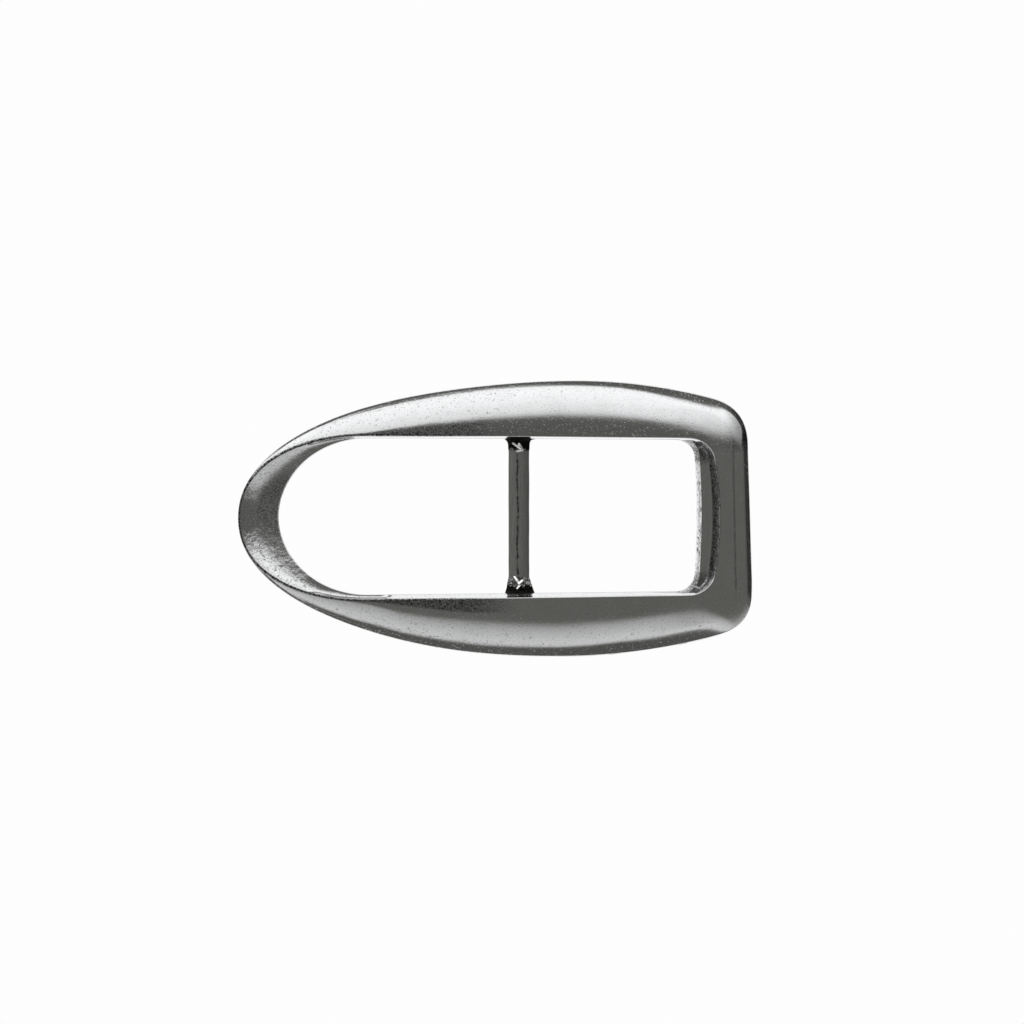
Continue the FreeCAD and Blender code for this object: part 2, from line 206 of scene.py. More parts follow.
# The cast surface's unevenness: size of its features, and their height on the smooth and the tumbled half
UNEVENNESS = [(9.0, 0.025, 0.025), (2.2, 0.002, 0.009), (0.8, 0.0006, 0.003)]
PARTING_Z = 0.75        # the mould's parting line round the outer wall
PARTING_RISE = 0.05
PARTING_WIDTH = 0.10
CREASE_X = 39.98        # the fine crease along the square end
CREASE_SKEW = 0.022
CREASE_DEPTH = 0.04
CREASE_WIDTH = 0.13
CREASE_ENDS_Y = 13.5
CREASE_FADE = 3.0
CREASE_ABOVE_Z = 2.0
RIDGE_DARK = 2.45       # width of the blackened band beside the ridge
LINE_RISE = 0.022       # the die's line along the outer facet
LINE_INSET = 0.42
LINE_WIDTH = 0.11
LINE_ENDS_X = 14.0
LINE_FADE = 8.0
LINE_ABOVE_Z = 1.0

# How finely the casting is drawn: stations round one half, and points round each section
STATIONS = {"fan": 138, "side": 188, "corner": 66, "end": 30}
CORNER_BACK = 0.4       # the stations at a corner fan out from a point this far further from the walls than
CORNER_DOWN = 0.6       # the centre of the opening's rounded corner
SHARP_ANGLE = math.radians(40.0)
BAR_RINGS = 320
BAR_STEPS = 14
COLLAR_RINGS = 24
SEAT_RINGS = 12
COUNTS = {"lip": 12, "field": 30, "round": 5, "dome": 47, "wall": 10, "back": 9}
CROWN_SAMPLES = 240
LIP_SAMPLES = 60
FIELD_SAMPLES = 160
SIDE_SAMPLES = 60
FAR = 60.0              # further than any outline
HALVINGS = 40           # of that distance, to find where an outline is crossed

# Stretches noise along the bar, and keeps it to one value across the bar
ALONG_BAR = np.array([1.0, 0.35, 1.0])
ONLY_Y = np.array([0.0, 1.0, 0.0])


# ------------ the casting's shape

def blend(a, b, t):
    return a + (b - a) * t


def smooth(t):
    t = np.clip(t, 0.0, 1.0)
    return t * t * (3 - 2 * t)


def lookup(at, table):
    """Reads a table of (place, value) pairs at any place between them."""
    return np.interp(at, *zip(*table))


def rises(value, start, over):
    """0 up to start, then up to 1 over the length that follows."""
    return smooth((value - start) / over)


def falls(value, start, over):
    return 1 - rises(value, start, over)


def rounded_corner(d_side, d_end, radius, power):
    """Depth inside two edges whose meeting corner is rounded; negative outside."""
    a = np.maximum(radius - d_side, 0.0)
    b = np.maximum(radius - d_end, 0.0)
    rounded = radius - (a ** power + b ** power) ** (1 / power)
    return np.where((a == 0) & (b == 0), np.minimum(d_side, d_end), rounded)


def outer_middle(x):
    """The outline's middle line sags a little left of the bar and lifts towards the square end."""
    sag = SAG * np.exp(-((x - SAG_X) / SAG_LENGTH) ** 2)
    return END_LIFT * rises(x, LIFT_STARTS_X, LIFT_LENGTH) - sag


def outer_depth(x, y):
    """Positive inside the outer outline, zero on it; in millimetres only beside the square end."""
    y = y - outer_middle(x)
    u = np.maximum(WIDEST_X - x, 0.0) / (WIDEST_X - TIP_X)
    v = np.abs(y) / HALF_WIDTH
    rounded_end = 1 - (u ** OUTER_POWER + v ** OUTER_POWER)
    d_side = BACK_BOW - np.hypot(x - WIDEST_X, np.abs(y) + BACK_BOW - HALF_WIDTH)
    d_end = END_X - END_SKEW * y - x
    square_end = np.where(
        y > 0, rounded_corner(d_side, d_end, UPPER_CORNER["radius"], UPPER_CORNER["power"]),
        rounded_corner(d_side, d_end, LOWER_CORNER["radius"], LOWER_CORNER["power"]))
    return np.where(x < WIDEST_X, rounded_end, square_end)


def inner_depth(line, x, y):
    """The same for the opening's outline or the ridge's."""
    y = y - line["middle"] - INNER_TURN * (x - BAR_X)
    u = np.maximum(FAN_X - x, 0.0) / line["tip"]
    v = np.abs(y) / line["half"]
    rounded_end = 1 - (u ** line["power"] + v ** line["power"])
    run = np.maximum(x - FAN_X, 0.0)
    d_side = line["half"] - line["taper"] * run ** 2 / (run + TAPER_START) - np.abs(y)
    d_end = line["end_x"] - y ** 2 / (2 * line["bow"]) - x
    return np.where(x < FAN_X, rounded_end, rounded_corner(d_side, d_end, line["corner"], 2.0))


def reach(depth, origin, ray):
    """Distance along each ray from its origin to where it crosses the outline."""
    near = np.zeros(len(origin))
    far = np.full(len(origin), FAR)
    for _ in range(HALVINGS):
        mid = (near + far) / 2
        p = origin + ray * mid[:, None]
        inside = depth(p[:, 0], p[:, 1]) > 0
        near = np.where(inside, mid, near)
        far = np.where(inside, far, mid)
    return near


def stations(fan, side, corner, end):
    """Rays across the ring: round the tip, along a side, round a corner, to the square end, and back."""
    corner_x = OPENING["end_x"] - OPENING["corner"] - CORNER_BACK
    corner_y = OPENING["half"] - OPENING["corner"] - CORNER_DOWN
    rays = []
    for i in range(fan):
        a = math.pi - (math.pi / 2) * i / fan
        rays.append((FAN_X, 0.0, math.cos(a), math.sin(a)))
    for i in range(side):
        rays.append((blend(FAN_X, corner_x, i / side), 0.0, 0.0, 1.0))
    for i in range(corner):
        a = (math.pi / 2) * (1 - i / corner)
        rays.append((corner_x, corner_y, math.cos(a), math.sin(a)))
    for i in range(end + 1):
        rays.append((corner_x, corner_y * (1 - i / end), 1.0, 0.0))
    lower = [(x, -y, u, -v) for x, y, u, v in reversed(rays[1:-1])]
    table = np.array(rays + lower)
    return table[:, :2] + np.array([0.0, BAR_Y]), table[:, 2:]


def spline_weights(count, samples):
    """Weights that turn the poles of a clamped cubic B-spline into points along it."""
    spans = count - 3
    knots = np.concatenate([np.zeros(4), np.arange(1, spans), np.full(4, float(spans))])
    t = np.clip(np.linspace(0, spans, samples), 0, spans - 1e-9)
    basis = [((t >= knots[i]) & (t < knots[i + 1])).astype(float) for i in range(len(knots) - 1)]
    for degree in range(1, 4):
        raised = []
        for i in range(len(basis) - 1):
            value = np.zeros(samples)
            rise = knots[i + degree] - knots[i]
            fall = knots[i + degree + 1] - knots[i + 1]
            if rise > 0:
                value += (t - knots[i]) / rise * basis[i]
            if fall > 0:
                value += (knots[i + degree + 1] - t) / fall * basis[i + 1]
            raised.append(value)
        basis = raised
    return np.array(basis).T


def along(rows, samples):
    """Points on the spline through each station's section. rows is a list of (distance, height) arrays."""
    poles = np.stack([np.stack(np.broadcast_arrays(*row), axis=-1) for row in rows], axis=1)
    return np.einsum("sp,upc->usc", spline_weights(len(rows), samples), poles.astype(float))


def side_tilts(share, x, across):
    """The crown's tilt along the sides: a flat band, the crown and its facet."""
    lower = max(-across, 0)
    flat = lookup(x, FLAT_SHARE) + lower * lookup(x, LOWER_FLAT)
    facet = 1 - lookup(x, FACET_SHARE) - lower * lookup(x, LOWER_FACET)
    turn = FLAT_TURN * flat ** FLAT_TURN_POWER
    knots = [0, flat - turn, flat, flat + turn, (flat + turn + facet) / 2, facet, facet + FACET_TURN, 1]
    return np.interp(share, knots, SIDE_TILTS)


def end_tilts(share, width, across):
    """The crown's tilt at the square end, with its facet a set distance in from the edge."""
    lower = float(rises(-across, CORNER_FACET_FROM, CORNER_FACET_OVER))
    facet = [blend(np.array(a), np.array(b), lower) for a, b in zip(END_FACET, CORNER_FACET)]
    knots = [0, END_FLAT_TO - END_FLAT_TO / width] + [1 - inset / width for inset, _ in facet]
    return np.interp(share, knots, END_FLAT + [tilt for _, tilt in facet])


def crown_fall(ray, width, ridge_x, at_end):
    """How the crown falls outwards: its tilt at each share of its width, summed into a fall."""
    share = np.linspace(0, 1, CROWN_SAMPLES)
    at_corner = np.where(
        ray[:, 1] > 0, rises(ray[:, 1], *UPPER_CORNER_SPAN), rises(-ray[:, 1], *LOWER_CORNER_SPAN))
    fall = []
    for x, w, end, corner, across in zip(ridge_x, width, at_end, at_corner, ray[:, 1]):
        square = blend(end_tilts(share, w, across), lookup(share, CORNER_TILTS), corner)
        slope = np.tan(np.radians(blend(side_tilts(share, x, across), square, end)))
        steps = (slope[1:] + slope[:-1]) / 2 / (len(share) - 1)
        fall.append(np.concatenate([[0], np.cumsum(steps)]))
    return share, np.array(fall)


def field_rows(ridge, width, ridge_x, ridge_z, at_end):
    """From the ridge in to the lip: a dish whose riser grows towards the sides, a ledge, or a bare wall."""
    riser = rises(ridge_x, RISER_ENDS_X, RISER_FADE)
    growth = blend(SIDE_LEDGE_GROWTH, END_LEDGE_GROWTH, at_end)
    narrow = blend(TIP_WALL_WIDTH, WALL_WIDTH, rises(ridge_x, FAN_X, TIP_WALL_FADE))
    walled = falls(width, narrow, growth)
    foot = np.minimum(RISER_WIDTH, RISER_SHARE * width)
    rows = []
    for k, (step, dish, floor) in enumerate(zip(STEP, DISH, FLOOR)):
        even = k / (len(STEP) - 1)
        if k < 2:
            beside = (foot * k / 2, RISER_FALL * k / 2)
        else:
            beside = (foot + floor[0] * (width - foot), RISER_FALL + floor[1] * DISH_SLOPE * (width - foot))
        inward = blend(dish[0] * width, beside[0], riser)
        fall = blend(dish[1] * DISH_SLOPE * width, beside[1], riser)
        inward = blend(inward, step[0] * width, at_end)
        fall = blend(fall, step[1] * (ridge_z - END_LEDGE_Z), at_end)
        inward = blend(inward, even * width, walled)
        fall = blend(fall, even * (ridge_z - SIDE_LEDGE_Z), walled)
        rows.append((ridge - inward, ridge_z - fall))
    return rows


def sections(origin, ray):
    """Every station's closed section as a dense line, and where its two sharp corners are."""
    opening = reach(lambda x, y: inner_depth(OPENING, x, y), origin, ray)
    ridge = reach(lambda x, y: inner_depth(RIDGE, x, y), origin, ray)
    outer = reach(outer_depth, origin, ray)
    ridge_x = origin[:, 0] + ray[:, 0] * ridge
    at_end = rises(ridge_x, END_STARTS_X, RIDGE["end_x"] - END_STARTS_X)
    to_tip = blend(RIDGE_Z, TIP_RIDGE_Z, rises(-ridge_x, -BAR_X, BAR_X - TIP_X))
    to_end = blend(RIDGE_Z, END_RIDGE_Z, rises(ridge_x, BAR_X, RIDGE["end_x"] - BAR_X))
    ridge_z = np.where(ridge_x < BAR_X, to_tip, to_end)
    width = outer - ridge
    share, fall = crown_fall(ray, width, ridge_x, at_end)
    top_reach = ridge[:, None] + share * width[:, None]
    top = np.stack([top_reach, ridge_z[:, None] - fall * width[:, None]], axis=-1)
    shoulder_z = top[:, -1, 1]

    lean = np.minimum(blend(TIP_LEAN, END_LEAN, at_end), (ridge - opening) / 2)
    field = field_rows(ridge, ridge - opening - lean, ridge_x, ridge_z, at_end)
    ledge_z = field[-1][1]
    wall_rows = [
        (outer, shoulder_z), (outer, blend(shoulder_z, BACK_ROUND, BACK_ROUND_FROM)),
        (outer, 0.0 * outer), (outer - BACK_ROUND, 0.0 * outer)]
    lip_rows = [
        field[-1], (opening + LIP_DIP_AT * lean * at_end, ledge_z - LIP_DIP * at_end),
        (opening - LIP_OUT * at_end, LIP_FOOT_Z * at_end), (opening + BACK_ROUND, 0.0 * opening)]

    lip = along(lip_rows, LIP_SAMPLES)[:, ::-1]
    inside = along(field, FIELD_SAMPLES)[:, ::-1]
    side = along(wall_rows, SIDE_SAMPLES)
    line = np.concatenate([lip, inside[:, 1:], top[:, 1:], side[:, 1:]], axis=1)
    ridge_at = lip.shape[1] + inside.shape[1] - 2
    edge_at = ridge_at + top.shape[1] - 1
    return line, ridge_at, edge_at


def at_length(line, length, s):
    """The points of a section's line at given lengths along it."""
    return np.stack([np.interp(s, length, line[:, 0]), np.interp(s, length, line[:, 1])], axis=-1)


def eased_corner(line, length, at, reach_mm, count):
    """The stretch round one corner of a section, as a quadratic curve that rounds it."""
    a, b, c = at_length(line, length, length[at] + np.array([-reach_mm, 0.0, reach_mm]))
    t = np.linspace(0, 1, count)[:, None]
    return a * (1 - t) ** 2 + 2 * b * t * (1 - t) + c * t ** 2


def resample(line, ridge_at, edge_at, counts):
    """One section's points: lip and field, rounded ridge, dome, rounded edge, wall."""
    length = np.concatenate([[0], np.cumsum(np.hypot(*np.diff(line, axis=0).T))])
    limit = (length[edge_at] - length[ridge_at]) / 3
    ridge_r = min(RIDGE_ROUND, limit)
    edge_r = min(EDGE_ROUND, limit)
    def stretch(start, stop, count):
        return at_length(line, length, np.linspace(start, stop, count + 1)[:-1])
    lip_s = length[LIP_SAMPLES - 1]
    inner, dome, outer = length[ridge_at] - ridge_r, length[edge_at] - edge_r, length[edge_at] + edge_r
    return np.concatenate([
        stretch(0, lip_s, counts["lip"]),
        stretch(lip_s, inner, counts["field"]),
        eased_corner(line, length, ridge_at, ridge_r, counts["round"])[:-1],
        stretch(length[ridge_at] + ridge_r, dome, counts["dome"]),
        eased_corner(line, length, edge_at, edge_r, counts["round"])[:-1],
        stretch(outer, length[-1], counts["wall"]),
        line[-1:],
        blend(line[-1], line[0], np.arange(1, counts["back"])[:, None] / counts["back"]),
    ])


def casting_grid():
    """Points of the ring as a grid, closed both ways, in millimetres."""
    origin, ray = stations(**STATIONS)
    lines, ridge_at, edge_at = sections(origin, ray)
    rows = np.array([resample(line, ridge_at, edge_at, COUNTS) for line in lines])
    grid = np.empty(rows.shape[:2] + (3,))
    grid[..., :2] = origin[:, None] + ray[:, None] * rows[..., :1]
    grid[..., 2] = rows[..., 1]
    return grid


def grid_normals(grid):
    """The surface's outward direction at each point of the closed grid."""
    around = np.roll(grid, -1, 0) - np.roll(grid, 1, 0)
    across = np.roll(grid, -1, 1) - np.roll(grid, 1, 1)
    n = np.cross(around, across)
    return n / np.linalg.norm(n, axis=-1, keepdims=True)


def field_noise(points, scale, seed):
    """Smooth noise from about -1 to 1 at each point, with features about that many millimetres across."""
    shift = Vector((seed * 17.3, seed * 5.1, seed * 9.7))
    return np.array([noise.noise(Vector(p) / scale + shift) for p in points])


def smooth_faces(mesh):
    for polygon in mesh.polygons:
        polygon.use_smooth = True


def mesh_object(name, verts, faces):
    mesh = bpy.data.meshes.new(name)
    mesh.from_pydata([tuple(v) for v in np.asarray(verts) * MM], [], faces)
    mesh.validate()
    smooth_faces(mesh)
    obj = bpy.data.objects.new(name, mesh)
    bpy.context.scene.collection.objects.link(obj)
    return obj


def ring_faces(around, across):
    """Faces of a grid closed both ways, pointing outwards as grid_normals does."""
    i = np.arange(around)[:, None]
    j = np.arange(across)[None, :]
    a = i * across + j
    b = i * across + (j + 1) % across
    c = ((i + 1) % around) * across + (j + 1) % across
    d = ((i + 1) % around) * across + j
    return np.stack([a, d, c, b], axis=-1).reshape(-1, 4).tolist()


def edge_line(points):
    """The fine raised line that a die leaves along the outer facet, fading in and out."""
    x, y, z = points.T
    inside = outer_inset(x, y)
    strength = np.clip(0.75 + 0.9 * field_noise(points, 11.0, 5), 0, 1)
    strength = strength * rises(-x, -LINE_ENDS_X, LINE_FADE)
    return (z > LINE_ABOVE_Z) * LINE_RISE * strength * np.exp(-((inside - LINE_INSET) / LINE_WIDTH) ** 2)


def inset(depth, x, y, seam_x):
    """How far inside an outline a point near it lies, in millimetres. The outline's formula changes at
    seam_x, and the slope is taken without stepping over it."""
    step = 0.05
    x_to = np.where(x < seam_x, np.minimum(x + step, seam_x - 1e-6), x + step)
    x_from = np.where(x < seam_x, x - step, np.maximum(x - step, seam_x))
    slope_x = (depth(x_to, y) - depth(x_from, y)) / (x_to - x_from)
    slope_y = (depth(x, y + step) - depth(x, y - step)) / (2 * step)
    return depth(x, y) / np.maximum(np.hypot(slope_x, slope_y), 1e-6)


def outer_inset(x, y):
    return inset(outer_depth, x, y, WIDEST_X)


def past_ridge(x, y):
    """How far outside the ridge line a point lies, in millimetres (negative inside), near the line."""
    return -inset(lambda a, b: inner_depth(RIDGE, a, b), x, y, FAN_X)


def crease(points):
    """The fine crease along the square end, deepest at 1."""
    x, y, z = points.T
    across = (x - CREASE_X + CREASE_SKEW * y) / CREASE_WIDTH
    ends = rises(-np.abs(y), -CREASE_ENDS_Y, CREASE_FADE)
    return np.exp(-across ** 2) * ends * (z > CREASE_ABOVE_Z)


def cast_unevenness(points):
    """How far the surface lies below its true form, fading out towards the back."""
    rough = falls(points[:, 0], SMOOTH_FROM_X, SMOOTH_OVER)
    total = np.zeros(len(points))
    for seed, (size, on_smooth, on_tumbled) in enumerate(UNEVENNESS, start=1):
        total += blend(on_smooth, on_tumbled, rough) * field_noise(points, size, seed)
    return total * np.clip(points[:, 2] / UNEVEN_ABOVE_Z, 0, 1)


def coat(obj, material):
    obj.data.materials.clear()
    obj.data.materials.append(material)


def make_casting():
    grid = casting_grid()
    normals = grid_normals(grid).reshape(-1, 3)
    points = grid.reshape(-1, 3)
    # Only the outer wall is steep, clear of the back and on the outline
    on_wall = (normals[:, 2] < 0.3) & (points[:, 2] > 0.05) & (outer_depth(points[:, 0], points[:, 1]) < 0.02)
    parting = PARTING_RISE * np.exp(-((points[:, 2] - PARTING_Z) / PARTING_WIDTH) ** 2)
    lift = np.where(on_wall, parting, 0.0) - cast_unevenness(points)
    moved = points + normals * lift[:, None]
    moved[:, 2] += edge_line(points) - CREASE_DEPTH * crease(points)
    moved[:, 2] = np.maximum(moved[:, 2], 0.0)
    return mesh_object("casting", moved, ring_faces(*grid.shape[:2]))


def applied(obj):
    """Replaces an object's mesh with the result of its modifiers."""
    graph = bpy.context.evaluated_depsgraph_get()
    mesh = bpy.data.meshes.new_from_object(obj.evaluated_get(graph))
    obj.modifiers.clear()
    old = obj.data
    obj.data = mesh
    bpy.data.meshes.remove(old)


def shade(obj):
    """Smooth shading, with sharp edges where faces meet at more than SHARP_ANGLE."""
    smooth_faces(obj.data)
    obj.data.set_sharp_from_angle(angle=SHARP_ANGLE)


# ------------ bar, slots and solder

def onto_middle(obj):
    """Moves a mesh made about y = 0 onto the middle line of the opening."""
    obj.data.transform(Matrix.Translation((0, BAR_Y * MM, 0)))
    return obj


def bar_outline(grow):
    """The bar's section in X-Z, larger all round by grow: flat back, domed face, rounded corners."""
    half = BAR_WIDTH / 2 + grow
    low = BAR_LOW_Z - grow
    top = BAR_TOP_Z + grow
    edge = BAR_EDGE_Z + grow
    round_r = BAR_EDGE_ROUND + grow
    steps = BAR_STEPS
    points = []
    for i in range(4 * steps + 1):
        x = -half + round_r + (2 * half - 2 * round_r) * i / (4 * steps)
        points.append((x, top - (top - edge) * (x / half) ** 2))
    def corner(cx, cz, start):
        return [(cx + round_r * math.cos(start - a), cz + round_r * math.sin(start - a))
                for a in np.linspace(0, math.pi / 2, 7)[1:-1]]
    shoulder = top - (top - edge) * ((half - round_r) / half) ** 2
    points += corner(half - round_r, shoulder - round_r, math.pi / 2)
    points += [(half, z) for z in np.linspace(shoulder - round_r, low + round_r, steps)]
    points += corner(half - round_r, low + round_r, 0.0)
    points += [(x, low) for x in np.linspace(half - round_r, round_r - half, 2 * steps)]
    points += corner(round_r - half, low + round_r, -math.pi / 2)
    points += [(-half, z) for z in np.linspace(low + round_r, shoulder - round_r, steps)]
    points += corner(round_r - half, shoulder - round_r, math.pi)
    return np.array(points)


def swept_bar():
    """The bar's section repeated along it, as an array of rings of points."""
    outline = bar_outline(0.0)
    points = np.empty((BAR_RINGS, len(outline), 3))
    points[..., 0] = BAR_X + outline[:, 0]
    points[..., 2] = outline[:, 1]
    points[..., 1] = np.linspace(-BAR_HALF, BAR_HALF, BAR_RINGS)[:, None]
    return points


def prism_faces(rings, count):
    """Faces of a closed prism of rings, pointing outwards where the rings turn clockwise about +Y."""
    faces = []
    for i in range(rings - 1):
        for j in range(count):
            k = (j + 1) % count
            faces.append((i * count + j, i * count + k, (i + 1) * count + k, (i + 1) * count + j))
    faces.append(tuple(reversed(range(count))))
    faces.append(tuple(range((rings - 1) * count, rings * count)))
    return faces


def turn_outwards(obj):
    """Makes every face of a closed mesh point outwards."""
    bm = bmesh.new()
    bm.from_mesh(obj.data)
    bmesh.ops.recalc_face_normals(bm, faces=bm.faces)
    bm.to_mesh(obj.data)
    bm.free()
    return obj


def groove_depth(points):
    """The worn groove along the bar's face: it wanders a little and breaks up."""
    y = points[:, 1]
    spots = points * ONLY_Y
    wander = 0.07 * np.sin(y * 0.55 + 1.0) + 0.04 * np.sin(y * 1.7) + 0.05 * field_noise(spots, 0.5, 16)
    width = GROOVE_WIDTH / 2 * (1 + 0.7 * field_noise(spots, 0.8, 17))
    across = (points[:, 0] - BAR_X - GROOVE_X - wander) / width
    broken = 0.75 + 1.3 * field_noise(spots, 0.42, 11)
    ends = rises(-np.abs(y), -GROOVE_HALF, 1.0)
    return GROOVE_DEPTH * np.exp(-across ** 2) * np.clip(broken, 0.45, 1.0) * ends


def make_bar():
    points = swept_bar()
    rings, count = points.shape[:2]
    flat = points.reshape(-1, 3).copy()
    on_face = rises(flat[:, 2], BAR_LOW_Z + 1.0, 0.8)
    swell = field_noise(flat * ALONG_BAR, 1.6, 12)
    flat[:, 2] += on_face * (BAR_SWELL * swell - groove_depth(flat))
    side = np.sign(flat[:, :1] - BAR_X)
    wander = BAR_EDGE_WANDER * field_noise(flat * ONLY_Y + side, 3.0, 13)
    flat[:, 0] += wander * (flat[:, 0] - BAR_X) / (BAR_WIDTH / 2)
    obj = mesh_object("bar", flat, prism_faces(rings, count))
    shade(obj)
    return obj


def wall_reach(sign):
    """From the bar's middle along it to the opening's wall."""
    start, along_bar = np.array([[BAR_X, BAR_Y]]), np.array([[0.0, sign]])
    return float(reach(lambda x, y: inner_depth(OPENING, x, y), start, along_bar)[0])


def slot_cutter(sign):
    """The solid that leaves the bar's slot in the side bar, open at the back."""
    wall_y = wall_reach(sign)
    outline = bar_outline(SLOT_GAP)
    keep = outline[outline[:, 1] > (BAR_LOW_Z + BAR_EDGE_Z) / 2]
    half = BAR_WIDTH / 2 + SLOT_GAP
    keep = keep[np.argsort(keep[:, 0], kind="stable")]
    section = [(-half, CUT_BELOW_Z)] + [tuple(p) for p in keep] + [(half, CUT_BELOW_Z)]
    y_in, y_out = wall_y - SLOT_REACH, BAR_HALF + SLOT_GAP
    verts = [(BAR_X + x, sign * y, z) for y in (y_in, y_out) for x, z in section]
    n = len(section)
    faces = [(j, j + 1, n + j + 1, n + j) for j in range(n - 1)] + [(n - 1, 0, n, 2 * n - 1)]
    faces += [tuple(reversed(range(n))), tuple(range(n, 2 * n))]
    return turn_outwards(mesh_object("slot_cutter", verts, faces))


def add_boolean(obj, operation, other):
    boolean = obj.modifiers.new("boolean", "BOOLEAN")
    boolean.operation = operation
    boolean.solver = "EXACT"
    boolean.object = other


def cut_slots(casting):
    for sign in (1, -1):
        cutter = onto_middle(slot_cutter(sign))
        add_boolean(casting, "DIFFERENCE", cutter)
        applied(casting)
        bpy.data.objects.remove(cutter)


def flare_section(shape, t):
    """The collar's section a share t of the way from the bar to the wall: wider left, right and upwards."""
    outline = bar_outline(blend(-0.03, 0.03, min(t * 3, 1.0)))
    half = BAR_WIDTH / 2
    middle = (BAR_LOW_Z + BAR_TOP_Z) / 2
    half_z = (BAR_TOP_Z - BAR_LOW_Z) / 2
    left = shape["left"] * t ** shape["left_power"]
    right = shape["right"] * t ** shape["right_power"] + shape["tail"] * t ** TAIL_POWER
    rise = shape["rise"] * t ** shape["rise_power"]
    x = outline[:, 0] * np.where(outline[:, 0] < 0, 1 + left / half, 1 + right / half)
    z = middle + (outline[:, 1] - middle) * (1 + rise / half_z)
    return x, np.maximum(z, SOLDER_BACK_Z)


def prism(name, rows):
    """A closed solid lofted through rows of points."""
    return turn_outwards(mesh_object(name, np.concatenate(rows), prism_faces(len(rows), len(rows[0]))))


def strokes_at(points, sign, strokes):
    """How far each point lies within the strokes, from 0 to 1, and how high they tip up towards the wall."""
    spot = np.stack([points[:, 0] - BAR_X, wall_reach(sign) - sign * points[:, 1]], axis=1)
    cover = np.zeros(len(points))
    lift = np.zeros(len(points))
    for x0, y0, x1, y1, half in strokes:
        start, run = np.array([x0, y0]), np.array([x1 - x0, y1 - y0])
        t = np.clip((spot - start) @ run / (run @ run), 0, 1)
        off = spot - start - t[:, None] * run
        within = falls(np.linalg.norm(off, axis=1) / half, 0.85, 0.4)
        cover = np.maximum(cover, within)
        lift = np.maximum(lift, within * FLAKE_TILT * np.maximum(half - off[:, 1], 0.0))
    return cover, lift


def collar(name, sign, shape):
    """The flared part, lofted over the bar from its start to a little way into the wall."""
    wall_y = wall_reach(sign)
    rows = []
    for t in list(np.linspace(0, 1, COLLAR_RINGS)) + [1.06, 1.12]:
        x, z = flare_section(shape, min(t, 1.0))
        y = sign * (wall_y - shape["length"] * (1 - t))
        rows.append(np.stack([BAR_X + x, np.full(len(x), y), z], axis=1))
    return prism(name, rows)


def slot_fill(name, sign):
    """The part that fills the slot round the bar's end."""
    fill = bar_outline(SLOT_GAP - SEAT_GAP)
    fill[:, 1] = np.where(fill[:, 1] < BAR_LOW_Z, SOLDER_BACK_Z, fill[:, 1])
    rows = []
    for y in np.linspace(wall_reach(sign) + 0.05, BAR_HALF + SLOT_GAP - SEAT_END_GAP, SEAT_RINGS):
        rows.append(np.stack([BAR_X + fill[:, 0], np.full(len(fill), sign * y), fill[:, 1]], axis=1))
    return prism(name, rows)


def solder_lumps(points, sign, shape):
    """How far the collar's surface stands out: soft lumps, and the raised flakes."""
    wall_y = wall_reach(sign)
    in_front = falls(np.abs(points[:, 1]), wall_y, 0.3)
    from_start = np.abs(points[:, 1]) - (wall_y - shape["length"])
    coarse = 0.05 * field_noise(points, 0.7, shape["seed"])
    fine = 0.025 * field_noise(points, 0.3, shape["seed"] + 1)
    lumps = (coarse + fine) * smooth(from_start / 1.2)
    lumps += strokes_at(points, sign, shape["flake_highlights"])[1] * (points[:, 2] > FLAKES_ABOVE_Z)
    return lumps * in_front


def make_solder(name, sign, shape):
    """A collar lofted over the bar, joined to the fill of the slot behind it."""
    obj = collar(name, sign, shape)
    seat = slot_fill(name + "_seat", sign)
    add_boolean(obj, "UNION", seat)
    remesh = obj.modifiers.new("remesh", "REMESH")
    remesh.mode = "VOXEL"
    remesh.voxel_size = SOLDER_VOXEL * MM
    ease = obj.modifiers.new("ease", "SMOOTH")
    ease.iterations = 3
    applied(obj)
    bpy.data.objects.remove(seat)
    mesh = obj.data
    co = vertices_mm(obj)
    normals = np.array([v.normal for v in mesh.vertices])
    co += normals * solder_lumps(co, sign, shape)[:, None]
    co[:, 2] = np.maximum(co[:, 2], SOLDER_BACK_Z)
    mesh.vertices.foreach_set("co", (co * MM).ravel())
    mesh.update()
    smooth_faces(mesh)
    return obj


# ------------ materials

# Linear colours: each metal from dull to bright, and what blackens it
SILVER = (0.74, 0.74, 0.74, 1), (0.84, 0.84, 0.842, 1)
# Painted shade on the square end's upper corner, where its reflection fades
CORNER_SHADE = (0.12, 0.12, 0.12, 1)
# Painted shade: the sides and back, a darker brushed grey
BRUSHED_SHADE = (0.26, 0.26, 0.26, 1), (0.44, 0.44, 0.44, 1)
# Antique black in the recesses, also used for painted shade along the ridge, in the dish and in the crease
SILVER_BLACK = (0.035, 0.035, 0.033, 1)
STEEL = (0.66, 0.66, 0.66, 1), (0.86, 0.86, 0.86, 1)
CLOUDED_STEEL = (0.76, 0.76, 0.76, 1)
# Black flux stain, also used for painted shade in the groove, along the right edge and on the back
STEEL_BLACK = (0.03, 0.03, 0.028, 1)
SOLDER = (0.22, 0.22, 0.215, 1), (0.66, 0.66, 0.66, 1)
FLUX_BLACK = (0.016, 0.016, 0.015, 1)
# Painted highlight on the bare flakes of solder
BARE_HIGHLIGHT = (0.95, 0.95, 0.94, 1)


